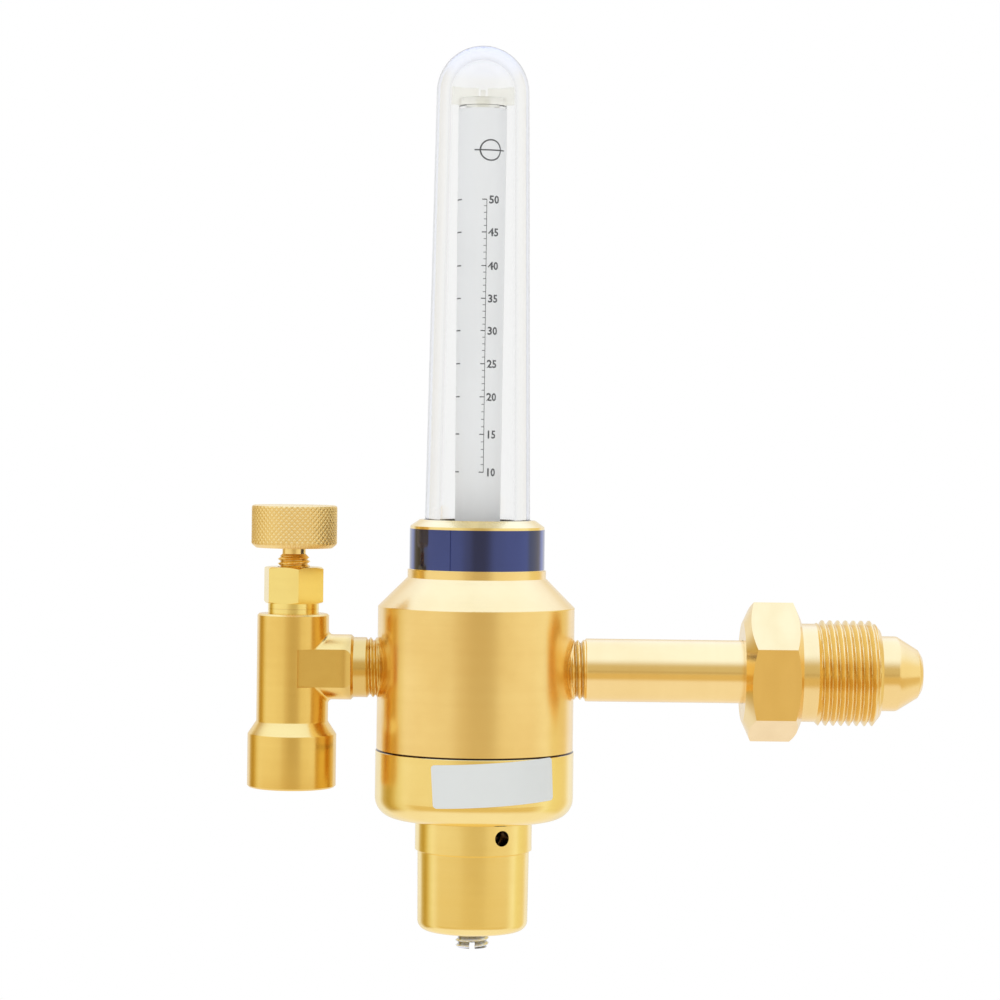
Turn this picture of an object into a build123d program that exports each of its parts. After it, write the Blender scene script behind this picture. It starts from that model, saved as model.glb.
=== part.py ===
from build123d import *
import math
import os

# Argon flowmeter regulator: a spring-and-diaphragm pressure regulator with an inlet nut and
# stem for a gas cylinder, a float-ball flow tube under a clear dome, and a needle valve whose
# socket takes the hose. Millimetres. While it is built, the flow tube's axis is the Z axis,
# the two side ports lie on the X axis, and the front is -Y. It is saved with its origin at
# the middle of the inlet nut's thread.

# Clearances
screwed_clearance = 0.05
running_clearance = 0.05
loose_clearance = 0.15
contact_gap = 0.02

# Corners, angles and shares that several pieces use
small_corner = 0.3
edge_corner = 0.4
full_turn = 360
quarter_turn = 90
facet_angle = 45
hexagon_half_angle = 30
cutter_oversize = 2
seal_corner_share = 1 / 3

# Pipe thread that joins the stem and the valve to the body, drawn at its crests
pipe_thread_radius = 7.0
pipe_thread_length = 15.1
pipe_thread_shown = 2.6
pipe_taper = 1 / 32

# Regulator body
body_radius = 22.8
shoulder_height = 14.35
seam_depth = 18.8
neck_step = 0.5
neck_height = 1.8
cone_slope = 1.0
seam_chamfer = 0.3

# Spigot that the bonnet screws on to, and the chambers above the diaphragm
bonnet_wall = 2.4
bonnet_thread_length = 7.8
low_chamber_inset = 0.5
low_chamber_depth = 3.0
high_chamber_radius = 4.0
high_chamber_top = 2.0

# Drilled ways
port_tip = 0.8
port_drill_radius = 1.8
riser_radius = 1.2
riser_set_out = 0.75
riser_top = -3.0
slant_radius = 1.1
slant_start_offset = 3.5
slant_start_height = 9.0
slant_end_height = -4.8
outlet_drop_radius = 1.2
outlet_drop_offset = 7.7

# Valve nozzle, poppet and their spring
nozzle_radius = 6.0
nozzle_length = 8.0
nozzle_recess = 0.6
orifice_radius = 1.3
crown_height = 0.8
crown_root_radius = 2.6
crown_radius = 1.7
nozzle_key = 5.0
nozzle_key_depth = 2.6
gasket_thickness = 0.5
gasket_inset = 0.15
poppet_lift = 0.6
poppet_pin_radius = 0.8
poppet_radius = 3.6
poppet_length = 6.4
poppet_flat = 3.0
poppet_guide_radius = 1.6
poppet_guide_length = 3.0
seat_disc_radius = 2.3
seat_disc_thickness = 1.6
poppet_spring_radius = 2.5
poppet_spring_wire = 0.6
poppet_spring_turns = 5

# Diaphragm, its plate and the range spring
diaphragm_thickness = 1.0
diaphragm_rise = 1.4
diaphragm_rim_inset = 0.2
diaphragm_inner_bend = 0.2
diaphragm_outer_bend = 0.7
slip_ring_thickness = 1.0
plate_margin = 0.1
plate_thickness = 1.6
plate_hub_gap = 0.3
plate_hub_height = 1.5
range_spring_radius = 7.9
range_spring_wire = 2.4
range_spring_length = 22.4
range_spring_turns = 5.5
button_margin = 0.2
button_thickness = 2.0
button_hub_height = 1.5
button_dimple = 0.8

# Bonnet
bonnet_overhang = 0.2
cup_corner = 4.7
cup_height = 15.7
clamp_width = 5.4
cavity_depth = 2.8
spring_bore_gap = 0.4
button_room = 3.2
barrel_floor = 5.2
barrel_wall = 3.85
barrel_top_length = 7.4
barrel_step_width = 0.6
barrel_draft = 0.2
barrel_corner = 2.2
barrel_step = 0.35
vent_radius = 1.8
vent_drop = 3.5
vent_angle = 29

# Adjusting screw
screw_radius = 3.9
screw_length = 13.3
screw_slot_width = 1.3
screw_slot_depth = 1.6
screw_chamfer = 0.5

# Collar that holds the dome, and the band round it
collar_wall = 1.85
collar_height = 11.6
collar_lip = 3.1
collar_chamfer_height = 1.5
collar_chamfer_width = 2.15
collar_thread_room = 0.5
collar_thread_length = 5.5
band_thickness = 0.12
band_height = 9.3
band_margin = 0.2
band_gap = 0.3
band_seam_angle = -22.7

# Dome
dome_foot_radius = 12.2
dome_top_radius = 10.7
dome_headroom = 3.4
dome_foot_wall = 3.45
dome_top_wall = 3.2
dome_flange = 1.0
dome_oring_inset = 1.0
dome_oring_width = 1.8
dome_oring_height = 1.35

# Metering tube, its seals, stop, ball and printed film
tube_foot_radius = 5.0
tube_top_radius = 5.5
tube_length = 121.5
tube_foot_height = 8.5
tube_way_radius = 2.0
seat_height = 27.0
seat_half_angle = 45
ball_radius = 3.175
ball_clearance = 0.085
bore_top_radius = 3.95
well_radius = 9.0
well_floor = 11.0
socket_floor = 5.0
tube_oring_width = 0.85
tube_oring_height = 1.1
tube_oring_drop = 1.2
stop_flange = 1.8
stop_plug = 4.3
stop_way_radius = 1.5
stop_fin_thickness = 1.2
stop_fin_height = 4.0
stop_fins = 3
stop_fin_angle = 90
film_thickness = 0.15
film_foot_height = 31.0
film_margin = 0.8
film_start_angle = -85
film_arc_angle = 190

# Inlet stem
stem_radius = 7.3
stem_bore_radius = 2.0
stem_shown = 39.1
nose_step = 1.4
nose_cover = 5.3
nose_length = 9.3
nose_cone_length = 5.0
nose_end_radius = 5.6
nose_end_rise = 1.0
nose_flat_radius = 3.92
nose_corner = 0.9
nose_round = 1.5
filter_radius = 2.9
filter_length = 11.0
filter_recess = 1.0
filter_cup_depth = 1.5
filter_corner = 0.8
filter_bore_radius = 1.3

# Inlet nut
nut_hex_length = 13.1
nut_flats = 28.575
nut_turn = 22
nut_chamfer = 25
nut_back_radius = 11.6
nut_front_radius = 12.8
nut_neck_radius = 11.4
nut_neck_length = 3.7
nut_thread_radius = 12.25
nut_thread_length = 13.3
nut_end_length = 1.6
nut_end_radius = 10.2
nut_shoulder = 0.3

# Needle valve body
valve_standoff = 19.6
valve_radius = 8.3
valve_top = 12.3
valve_waist = -12.6
socket_radius = 10.28
socket_shoulder = -15.6
valve_bottom = -27.9
socket_chamfer = 0.4
socket_corner = 0.5
waist_corner = 0.8
outlet_radius = 7.15
outlet_depth = 11.5
outlet_ledge = 1.5
outlet_seat_depth = 4.0
outlet_way_radius = 2.0
branch_radius = 7.55
branch_reach = 14.2
branch_band = 2.2
branch_fillet = 1.0
flat_depth = 6.15
flat_start = 1.5
flat_cutter_radius = 2.4
nipple_radius = 6.95
needle_seat_radius = 1.5
needle_seat_height = -2.6
needle_chamber_radius = 3.6
needle_chamber_top = 4.0
branch_way_radius = 2.2

# Gland
gland_thread_radius = 4.95
gland_thread_length = 7.3
gland_collar_radius = 5.9
gland_collar_height = 2.4
gland_flats = 12.7
gland_hex_height = 8.4
gland_edge_angle = 12
gland_chamfer = 0.4

# Needle stem, its seal and the knob
stem_thread_radius = 3.75
stem_thread_length = 10.3
stem_thread_rise = 3.0
stem_neck_radius = 2.73
stem_rod_radius = 3.05
stem_groove_radius = 2.1
stem_groove_width = 1.8
stem_groove_height = 9.2
needle_radius = 2.0
needle_rod_top = 5.5
needle_half_angle = 20
needle_tip_radius = 0.4
knob_radius = 9.9
knob_height = 9.9
knob_bottom = 27.5
knob_chamfer = 0.8
knob_top_chamfer = 0.4
knob_wall = 0.9

# Blank label on the bonnet
label_height = 9.8
label_arc_angle = 75
label_centre_angle = 12.9
label_drop = 5.7
label_thickness = 0.12
label_tilt = 3.2
label_corner = 0.8

# Places worked out from the sizes above
bonnet_radius = body_radius + bonnet_overhang
bonnet_thread_radius = body_radius - bonnet_wall
cavity_radius = bonnet_thread_radius - clamp_width
low_chamber_radius = cavity_radius - low_chamber_inset
riser_offset = (nozzle_radius + low_chamber_radius) / 2 + riser_set_out
dome_flange_radius = dome_foot_radius + dome_flange
dome_oring_radius = dome_foot_radius - dome_oring_inset
dome_bore_foot = dome_foot_radius - dome_foot_wall
dome_bore_top = dome_top_radius - dome_top_wall
collar_bore_radius = dome_foot_radius + loose_clearance
collar_thread_radius = dome_flange_radius + collar_thread_room
collar_radius = collar_thread_radius + collar_wall
neck_radius = collar_radius + neck_step
neck_base = shoulder_height + (body_radius - neck_radius) * cone_slope
neck_top = neck_base + neck_height
spigot_top = neck_top + collar_thread_length
spigot_end = -seam_depth - bonnet_thread_length
low_chamber_ceiling = spigot_end + low_chamber_depth
pipe_thread_end = body_radius + pipe_thread_shown
pipe_thread_tip = pipe_thread_end - pipe_thread_length
port_end = pipe_thread_tip - port_tip
nozzle_bottom = low_chamber_ceiling + nozzle_recess
nozzle_top = nozzle_bottom + nozzle_length
nozzle_step = nozzle_top + gasket_thickness
crown_top = nozzle_top + crown_height
seat_disc_bottom = crown_top + poppet_lift + contact_gap
seat_disc_top = seat_disc_bottom + seat_disc_thickness
poppet_top = seat_disc_bottom + poppet_length
diaphragm_rim_top = spigot_end
diaphragm_rim_bottom = diaphragm_rim_top - diaphragm_thickness
diaphragm_centre_bottom = diaphragm_rim_bottom + diaphragm_rise
diaphragm_centre_top = diaphragm_centre_bottom + diaphragm_thickness
bonnet_shoulder = diaphragm_rim_bottom - slip_ring_thickness
cavity_floor = bonnet_shoulder - cavity_depth
range_coil_radius = range_spring_radius + range_spring_wire / 2
plate_radius = range_coil_radius + plate_margin
plate_hub_radius = range_spring_radius - range_spring_wire / 2 - plate_hub_gap
button_radius = range_coil_radius + button_margin
spring_bore_radius = button_radius + spring_bore_gap
barrel_top_radius = spring_bore_radius + barrel_wall
barrel_radius = barrel_top_radius - barrel_step_width
barrel_end_radius = barrel_radius - barrel_draft
plate_bottom = diaphragm_centre_bottom - plate_thickness
range_spring_bottom = plate_bottom - range_spring_length
button_bottom = range_spring_bottom - button_thickness
cup_bottom = -seam_depth - cup_height
barrel_step_height = cup_bottom - barrel_top_length
spring_bore_floor = button_bottom - button_room
barrel_bottom = spring_bore_floor - barrel_floor
vent_height = cup_bottom - vent_drop
label_centre_height = -seam_depth - label_drop
collar_top = neck_top + collar_height
collar_lip_bottom = collar_top - collar_lip
band_bottom = neck_top + band_margin
tube_top = tube_foot_height + tube_length
tube_socket_radius = tube_foot_radius + loose_clearance
film_top_height = tube_top - film_margin
dome_shoulder_height = tube_top + dome_headroom
bore_foot_radius = ball_radius + ball_clearance
seat_angle = math.radians(seat_half_angle)
seat_top = seat_height + (bore_foot_radius - tube_way_radius) / math.tan(seat_angle)
ball_rise = ball_radius / math.sin(seat_angle) - tube_way_radius / math.tan(seat_angle)
ball_height = seat_height + ball_rise + contact_gap
nut_start = body_radius + stem_shown
nut_hex_end = nut_start + nut_hex_length
nut_neck_end = nut_hex_end + nut_neck_length
nut_thread_end = nut_neck_end + nut_thread_length
nut_end = nut_thread_end + nut_end_length
mount_centre = (nut_neck_end + nut_thread_end) / 2
nose_radius = stem_radius + nose_step
nose_start = nut_end - nose_cover
nose_cone_start = nose_start + nose_length
nose_cone_end = nose_cone_start + nose_cone_length
nose_end = nose_cone_end + nose_end_rise
filter_start = nose_end - filter_recess - filter_length
valve_offset = body_radius + valve_standoff
gland_hex_bottom = valve_top + gland_collar_height
gland_top = gland_hex_bottom + gland_hex_height
gland_bottom = valve_top - gland_thread_length
stem_thread_top = gland_top + stem_thread_rise
stem_thread_bottom = stem_thread_top - stem_thread_length
knob_top = knob_bottom + knob_height
knob_bore_end = knob_top - knob_wall

onto_x = Rot(0, quarter_turn, 0)
at_valve = Pos(-valve_offset, 0, 0)


def turned(*stations):
    """Solid turned about Z from (radius, height, corner radius) stations."""
    points = [(radius, height) for radius, height, corner in stations]
    corners = [corner for radius, height, corner in stations]
    outline = FilletPolyline(*points, radius=corners, close=True)
    return revolve(Plane.XZ * make_face(outline), Axis.Z)


def ring(inner, outer, bottom, top):
    """Plain ring about Z."""
    return turned((inner, bottom, 0), (outer, bottom, 0), (outer, top, 0), (inner, top, 0))


def rod(radius, bottom, top):
    """Plain rod about Z."""
    return Pos(0, 0, bottom) * extrude(Circle(radius), top - bottom)


def drilled(start, end, radius):
    """Straight hole from one point to another."""
    way = Vector(*end) - Vector(*start)
    return extrude(Plane(origin=start, z_dir=way) * Circle(radius), way.length)


def taper_radius(length, start_radius, end_radius, full_length):
    """Radius part of the way along a straight taper."""
    return start_radius + (end_radius - start_radius) * length / full_length


def sector(start_angle, arc, reach, bottom, top):
    """Wedge about Z that starts start_angle degrees right of the front and runs to the right."""
    count = math.ceil(arc / facet_angle)
    turns = [start_angle - quarter_turn + arc * i / count for i in range(count + 1)]
    angles = [math.radians(turn) for turn in turns]
    corners = [(reach * math.cos(a), reach * math.sin(a)) for a in angles]
    outline = make_face(Polyline((0, 0), *corners, close=True))
    return Pos(0, 0, bottom) * extrude(outline, top - bottom)


def coil_spring(radius, wire, bottom, length, turns):
    """Wire spring about Z with ground ends."""
    pitch = (length - wire / 2) / turns
    path = Helix(pitch=pitch, height=pitch * turns, radius=radius)
    wire_section = Plane(origin=path @ 0, z_dir=path % 0) * Circle(wire / 2)
    coil = Pos(0, 0, bottom + wire / 4) * sweep(wire_section, path, is_frenet=True)
    return coil & rod(radius + wire, bottom, bottom + length)


def pipe_thread(end, tip, growth=0.0):
    """Tapered thread about Z, largest at end, with growth added for the hole it goes in."""
    length = abs(end - tip)
    large = pipe_thread_radius + growth
    small = large - pipe_taper * length
    return turned((0, tip, 0), (small, tip, 0), (large, end, 0), (0, end, 0))


def regulator_body():
    """Turned body with ports, tube well, valve chamber and drilled ways."""
    body = turned(
        (0, spigot_end, 0),
        (bonnet_thread_radius, spigot_end, 0),
        (bonnet_thread_radius, -seam_depth, 0),
        (body_radius, -seam_depth, 0),
        (body_radius, shoulder_height, small_corner),
        (neck_radius, neck_base, 0),
        (neck_radius, neck_top, 0),
        (collar_thread_radius, neck_top, 0),
        (collar_thread_radius, spigot_top, 0),
        (0, spigot_top, 0),
    )
    body -= rod(well_radius, well_floor, spigot_top)
    body -= rod(tube_socket_radius, socket_floor, well_floor)
    body -= tube_oring_groove()
    body -= dome_oring_groove()
    body -= rod(low_chamber_radius, spigot_end, low_chamber_ceiling)
    body -= rod(nozzle_radius + screwed_clearance, low_chamber_ceiling, nozzle_step)
    body -= rod(high_chamber_radius, nozzle_step, high_chamber_top)
    port = pipe_thread(pipe_thread_end, pipe_thread_tip, contact_gap)
    port += rod(pipe_thread_radius - pipe_taper * pipe_thread_length, port_end, pipe_thread_tip)
    for side in (1, -1):
        body -= Rot(0, quarter_turn * side, 0) * port
    body -= drilled((0, 0, 0), (port_end, 0, 0), port_drill_radius)
    drop_end = -outlet_drop_offset + outlet_drop_radius
    body -= drilled((-port_end, 0, 0), (drop_end, 0, 0), port_drill_radius)
    drop = (-outlet_drop_offset, 0, 0)
    body -= drilled(drop, (-outlet_drop_offset, 0, well_floor), outlet_drop_radius)
    riser = (0, riser_offset, low_chamber_ceiling)
    body -= drilled(riser, (0, riser_offset, riser_top), riser_radius)
    slant = (0, slant_start_offset, slant_start_height)
    body -= drilled(slant, (0, riser_offset, slant_end_height), slant_radius)
    return body


def tube_oring_groove():
    """Groove in the tube socket's wall."""
    top = well_floor - tube_oring_drop
    outer = tube_foot_radius + tube_oring_width
    return ring(tube_foot_radius, outer, top - tube_oring_height, top)


def tube_oring():
    """Seal round the metering tube's foot."""
    top = well_floor - tube_oring_drop
    outer = tube_foot_radius + tube_oring_width
    corner = tube_oring_width * seal_corner_share
    bottom = top - tube_oring_height
    return turned(
        (tube_foot_at(bottom), bottom, corner),
        (outer, bottom, corner),
        (outer, top, corner),
        (tube_foot_at(top), top, corner),
    )


def dome_oring_groove():
    """Face groove under the dome's flange."""
    inner = dome_oring_radius - dome_oring_width / 2
    outer = dome_oring_radius + dome_oring_width / 2
    return ring(inner, outer, spigot_top - dome_oring_height, spigot_top)


def dome_oring():
    """Seal under the dome's flange, squeezed to the groove's depth."""
    inner = dome_oring_radius - dome_oring_width / 2
    outer = dome_oring_radius + dome_oring_width / 2
    bottom = spigot_top - dome_oring_height
    corner = dome_oring_height * seal_corner_share
    return turned(
        (inner, bottom, corner),
        (outer, bottom, corner),
        (outer, spigot_top, corner),
        (inner, spigot_top, corner),
    )


def valve_nozzle():
    """Screwed insert with the seat crown on top and a key socket below."""
    nozzle = turned(
        (orifice_radius, nozzle_bottom, 0),
        (nozzle_radius, nozzle_bottom, 0),
        (nozzle_radius, nozzle_top, 0),
        (crown_root_radius, nozzle_top, 0),
        (crown_radius, crown_top, 0),
        (orifice_radius, crown_top, 0),
    )
    key = RegularPolygon(nozzle_key / 2, 6, major_radius=False)
    return nozzle - Pos(0, 0, nozzle_bottom) * extrude(key, nozzle_key_depth)


def nozzle_gasket():
    """Soft washer between the nozzle and the body's step."""
    inner = high_chamber_radius + gasket_inset
    outer = nozzle_radius - gasket_inset
    return ring(inner, outer, nozzle_top, nozzle_step)


def poppet():
    """Three-sided poppet with a spring guide above and a pin that stands on the diaphragm."""
    shaft = rod(poppet_radius, seat_disc_bottom, poppet_top)
    sides = RegularPolygon(poppet_flat, 3, major_radius=False)
    shaft &= Pos(0, 0, seat_disc_bottom) * extrude(sides, poppet_length)
    shaft += rod(poppet_guide_radius, poppet_top, poppet_top + poppet_guide_length)
    shaft -= rod(seat_disc_radius, seat_disc_bottom, seat_disc_top)
    return shaft + rod(poppet_pin_radius, diaphragm_centre_top, seat_disc_top)


def poppet_seat():
    """Soft disc that closes on the nozzle's crown."""
    return ring(poppet_pin_radius, seat_disc_radius, seat_disc_bottom, seat_disc_top)


def poppet_spring():
    """Spring that closes the poppet."""
    length = high_chamber_top - poppet_top
    return coil_spring(
        poppet_spring_radius, poppet_spring_wire, poppet_top, length, poppet_spring_turns
    )


def diaphragm():
    """Moulded diaphragm with its centre raised by the open valve."""
    rim = bonnet_thread_radius - diaphragm_rim_inset
    inner = plate_radius + (cavity_radius - plate_radius) * diaphragm_inner_bend
    outer = plate_radius + (cavity_radius - plate_radius) * diaphragm_outer_bend
    bend = diaphragm_thickness
    return turned(
        (0, diaphragm_centre_bottom, 0),
        (inner, diaphragm_centre_bottom, bend / 2),
        (outer, diaphragm_rim_bottom, bend),
        (rim, diaphragm_rim_bottom, 0),
        (rim, diaphragm_rim_top, 0),
        (outer, diaphragm_rim_top, bend / 2),
        (inner, diaphragm_centre_top, bend),
        (0, diaphragm_centre_top, 0),
    )


def slip_ring():
    """Thin ring between the diaphragm and the bonnet's shoulder."""
    rim = bonnet_thread_radius - diaphragm_rim_inset
    return ring(cavity_radius, rim, bonnet_shoulder, diaphragm_rim_bottom)


def diaphragm_plate():
    """Disc under the diaphragm, with a hub inside the range spring."""
    hub_bottom = plate_bottom - plate_hub_height
    return turned(
        (0, hub_bottom, 0),
        (plate_hub_radius, hub_bottom, edge_corner),
        (plate_hub_radius, plate_bottom, 0),
        (plate_radius, plate_bottom, 0),
        (plate_radius, diaphragm_centre_bottom, edge_corner),
        (0, diaphragm_centre_bottom, 0),
    )


def range_spring():
    """Spring that sets the pressure."""
    return coil_spring(
        range_spring_radius,
        range_spring_wire,
        range_spring_bottom,
        range_spring_length,
        range_spring_turns,
    )


def spring_button():
    """Disc under the range spring, with a dimple for the screw's tip."""
    hub_top = range_spring_bottom + button_hub_height
    button = turned(
        (0, button_bottom, 0),
        (button_radius, button_bottom, edge_corner),
        (button_radius, range_spring_bottom, 0),
        (plate_hub_radius, range_spring_bottom, 0),
        (plate_hub_radius, hub_top, edge_corner),
        (0, hub_top, 0),
    )
    reach = screw_radius + loose_clearance
    return button - rod(reach, button_bottom, button_bottom + button_dimple)


def adjusting_screw():
    """Slotted screw through the bonnet's end."""
    top = button_bottom + button_dimple
    bottom = top - screw_length
    screw = turned(
        (0, bottom, 0),
        (screw_radius - screw_chamfer, bottom, 0),
        (screw_radius, bottom + screw_chamfer, 0),
        (screw_radius, top - screw_chamfer, 0),
        (screw_radius - screw_chamfer, top, 0),
        (0, top, 0),
    )
    slot = Box(screw_slot_width, screw_radius * 2 * cutter_oversize, screw_slot_depth * 2)
    return screw - Pos(0, 0, bottom) * slot


def bonnet():
    """Stepped cup with the spring bore, screw hole and vent."""
    cup = turned(
        (0, barrel_bottom, 0),
        (barrel_end_radius, barrel_bottom, barrel_corner),
        (barrel_radius, barrel_step_height - barrel_step, 0),
        (barrel_top_radius, barrel_step_height, 0),
        (barrel_top_radius, cup_bottom, 0),
        (bonnet_radius, cup_bottom, cup_corner),
        (bonnet_radius, -seam_depth - seam_chamfer, 0),
        (bonnet_radius - seam_chamfer, -seam_depth, 0),
        (0, -seam_depth, 0),
    )
    cup -= rod(bonnet_thread_radius + screwed_clearance, bonnet_shoulder, -seam_depth)
    cup -= rod(cavity_radius, cavity_floor, bonnet_shoulder)
    cup -= rod(spring_bore_radius, spring_bore_floor, cavity_floor)
    cup -= rod(screw_radius + running_clearance, barrel_bottom, spring_bore_floor)
    angle = math.radians(vent_angle)
    reach = (spring_bore_radius + barrel_top_radius) / 2
    out = Vector(math.sin(angle), -math.cos(angle), 0)
    inner = out * (reach / 2) + Vector(0, 0, vent_height)
    outer = out * (reach * cutter_oversize) + Vector(0, 0, vent_height)
    return cup - drilled(tuple(inner), tuple(outer), vent_radius)


def dome_collar():
    """Screwed ring whose lip holds the dome's flange down."""
    chamfer_base = collar_top - collar_chamfer_height
    thread_radius = collar_thread_radius + screwed_clearance
    return turned(
        (thread_radius, neck_top, 0),
        (collar_radius, neck_top, 0),
        (collar_radius, chamfer_base, 0),
        (collar_radius - collar_chamfer_width, collar_top, 0),
        (collar_bore_radius, collar_top, 0),
        (collar_bore_radius, collar_lip_bottom, 0),
        (thread_radius, collar_lip_bottom, 0),
    )


def label_band():
    """Plain band round the collar, with a narrow seam."""
    band = ring(collar_radius, collar_radius + band_thickness, band_bottom, band_bottom + band_height)
    gap = math.degrees(band_gap / collar_radius)
    start = band_seam_angle - gap / 2
    reach = collar_radius * cutter_oversize
    return band - sector(start, gap, reach, band_bottom, band_bottom + band_height)


def dome():
    """Clear cover with a flange, tapered walls and a domed end."""
    outer_centre = (0, dome_shoulder_height)
    outline = Polyline(
        (dome_bore_top, dome_shoulder_height),
        (dome_bore_foot, spigot_top),
        (dome_flange_radius, spigot_top),
        (dome_flange_radius, collar_lip_bottom),
        (dome_foot_radius, collar_lip_bottom),
        (dome_top_radius, dome_shoulder_height),
    )
    outer_arc = CenterArc(outer_centre, dome_top_radius, 0, quarter_turn)
    inner_arc = CenterArc(outer_centre, dome_bore_top, 0, quarter_turn)
    crown = Line(outer_arc @ 1, inner_arc @ 1)
    section = make_face(outline + outer_arc + crown + inner_arc)
    return revolve(Plane.XZ * section, Axis.Z)


def tube_foot_at(height):
    """Outer radius of the metering tube at a height."""
    return taper_radius(height - tube_foot_height, tube_foot_radius, tube_top_radius, tube_length)


def metering_tube():
    """Clear tube with a seat for the ball and a bore that widens upwards."""
    return turned(
        (tube_way_radius, tube_foot_height, 0),
        (tube_foot_radius, tube_foot_height, edge_corner),
        (tube_top_radius, tube_top, 0),
        (bore_top_radius, tube_top, 0),
        (bore_foot_radius, seat_top, 0),
        (tube_way_radius, seat_height, 0),
    )


def scale_film():
    """Printed film round the front of the metering tube."""
    foot = tube_foot_at(film_foot_height)
    top = tube_foot_at(film_top_height)
    film = turned(
        (foot, film_foot_height, 0),
        (foot + film_thickness, film_foot_height, 0),
        (top + film_thickness, film_top_height, 0),
        (top, film_top_height, 0),
    )
    reach = tube_top_radius * cutter_oversize
    wedge = sector(film_start_angle, film_arc_angle, reach, film_foot_height, film_top_height)
    return film & wedge


def tube_stop():
    """Stop in the tube's top, with fins that steady it in the dome."""
    plug_radius = bore_top_radius - loose_clearance
    top = tube_top + stop_flange
    stop = turned(
        (stop_way_radius, tube_top - stop_plug, 0),
        (plug_radius, tube_top - stop_plug, small_corner),
        (plug_radius, tube_top, 0),
        (tube_top_radius, tube_top, 0),
        (tube_top_radius, top, edge_corner),
        (stop_way_radius, top, 0),
    )
    fin_top = tube_top + stop_fin_height
    dome_length = dome_shoulder_height - spigot_top
    fin_reach = taper_radius(
        fin_top - spigot_top, dome_bore_foot, dome_bore_top, dome_length
    ) - loose_clearance
    fin_length = fin_reach - stop_way_radius
    fin = Pos(stop_way_radius + fin_length / 2, 0, (tube_top + fin_top) / 2) * Box(
        fin_length, stop_fin_thickness, stop_fin_height
    )
    for i in range(stop_fins):
        stop += Rot(0, 0, full_turn * i / stop_fins + stop_fin_angle) * fin
    return stop - rod(stop_way_radius, tube_top, fin_top)


def float_ball():
    """Ball on the tube's seat."""
    return Pos(0, 0, ball_height) * Sphere(ball_radius)


def inlet_stem():
    """Nipple with a tapered thread, plain stem, collar and bullet nose."""
    nose = turned(
        (0, pipe_thread_end, 0),
        (stem_radius, pipe_thread_end, small_corner),
        (stem_radius, nose_start, 0),
        (nose_radius, nose_start, 0),
        (nose_radius, nose_cone_start, nose_round),
        (nose_end_radius, nose_cone_end, nose_corner),
        (nose_flat_radius, nose_end, nose_round),
        (0, nose_end, 0),
    )
    stem = nose + pipe_thread(pipe_thread_end, pipe_thread_tip)
    stem -= rod(stem_bore_radius, pipe_thread_tip, nose_end)
    stem -= rod(filter_radius, filter_start, nose_end)
    return onto_x * stem


def inlet_filter():
    """Sintered cup pressed into the nose."""
    cup_floor = filter_start + filter_cup_depth
    end = filter_start + filter_length
    cup = turned(
        (0, cup_floor, 0),
        (filter_bore_radius, cup_floor, 0),
        (filter_bore_radius, filter_start, 0),
        (filter_radius, filter_start, 0),
        (filter_radius, end, filter_corner),
        (0, end, 0),
    )
    return onto_x * cup


def hexagon(flats, bottom, top, edge_angle):
    """Hexagonal prism about Z with one edge at an angle from +X."""
    outline = Rot(0, 0, edge_angle) * RegularPolygon(flats / 2, 6, major_radius=False, rotation=0)
    return Pos(0, 0, bottom) * extrude(outline, top - bottom)


def inlet_nut():
    """Loose nut with a chamfered hexagon, a neck and a male thread."""
    corner = nut_flats / 2 / math.cos(math.radians(hexagon_half_angle))
    slope = math.tan(math.radians(nut_chamfer))
    back_rise = (corner - nut_back_radius) * slope
    front_rise = (corner - nut_front_radius) * slope
    envelope = turned(
        (0, nut_start, 0),
        (nut_back_radius, nut_start, 0),
        (corner, nut_start + back_rise, 0),
        (corner, nut_hex_end - front_rise, 0),
        (nut_front_radius, nut_hex_end, 0),
        (0, nut_hex_end, 0),
    )
    edge = quarter_turn - nut_turn
    nut = hexagon(nut_flats, nut_start, nut_hex_end, edge) & envelope
    nut += turned(
        (0, nut_hex_end, 0),
        (nut_neck_radius, nut_hex_end, 0),
        (nut_neck_radius, nut_neck_end, 0),
        (nut_thread_radius, nut_neck_end, 0),
        (nut_thread_radius, nut_thread_end, 0),
        (nut_end_radius, nut_end, 0),
        (0, nut_end, 0),
    )
    nut -= rod(stem_radius + running_clearance, nut_start, nut_end)
    nut -= rod(nose_radius + loose_clearance, nose_start - nut_shoulder, nut_end)
    return onto_x * nut


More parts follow.
